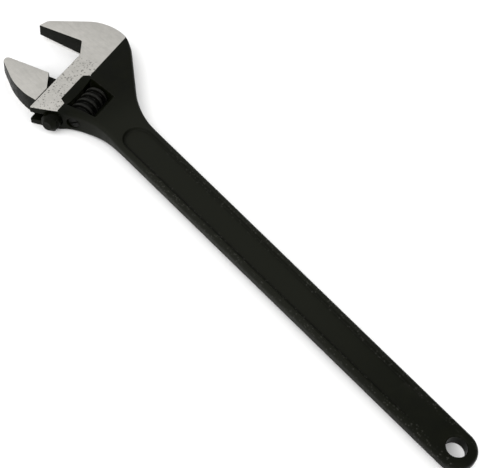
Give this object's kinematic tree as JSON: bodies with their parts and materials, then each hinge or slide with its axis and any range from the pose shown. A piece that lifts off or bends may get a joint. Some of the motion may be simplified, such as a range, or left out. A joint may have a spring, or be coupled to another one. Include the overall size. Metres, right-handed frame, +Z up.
{
  "type": "adjustable wrench",
  "caption": "Long adjustable wrench: one-piece body with fixed jaw and recessed handle, sliding jaw moved by a knurling worm on a screwed pin, hang hole at the end.",
  "frame": {"origin": "middle of the wrench's footprint, on the surface it lies on", "axes": "+X along the handle towards the hang hole, +Y towards the fixed jaw, +Z up through the thickness"},
  "size_m": [0.6134, 0.1354, 0.0234],
  "materials": {
    "forged_body": "black oxide forging, ground bright on the flat faces of the head",
    "jaw_steel": "ground flat faces, black oxide sides",
    "worm_steel": "black oxide, turned",
    "pin_steel": "black oxide, slotted end",
    "spring_steel": "oiled spring wire"
  },
  "bodies": {
    "wrench_body": {"body": "forged_body", "worm_pin": "pin_steel", "worm_spring": "spring_steel"},
    "movable_jaw": {"movable_jaw": "jaw_steel"},
    "worm": {"worm": "worm_steel"}
  },
  "joints": [
    {"name": "jaw_slide", "type": "slide", "parent": "wrench_body", "child": "movable_jaw", "axis": [0.3827, -0.9239, 0], "range_m": [-0.0566, 0.005]},
    {"name": "worm_spin", "type": "hinge", "parent": "wrench_body", "child": "worm", "pos_m": [-0.18551, -0.0163, 0.0117], "axis": [0.3827, -0.9239, 0], "range_deg": [-215, 2400]}
  ],
  "couplings": [
    {"joint": "worm_spin", "follows": "jaw_slide", "rad_per_m": -739.2}
  ]
}
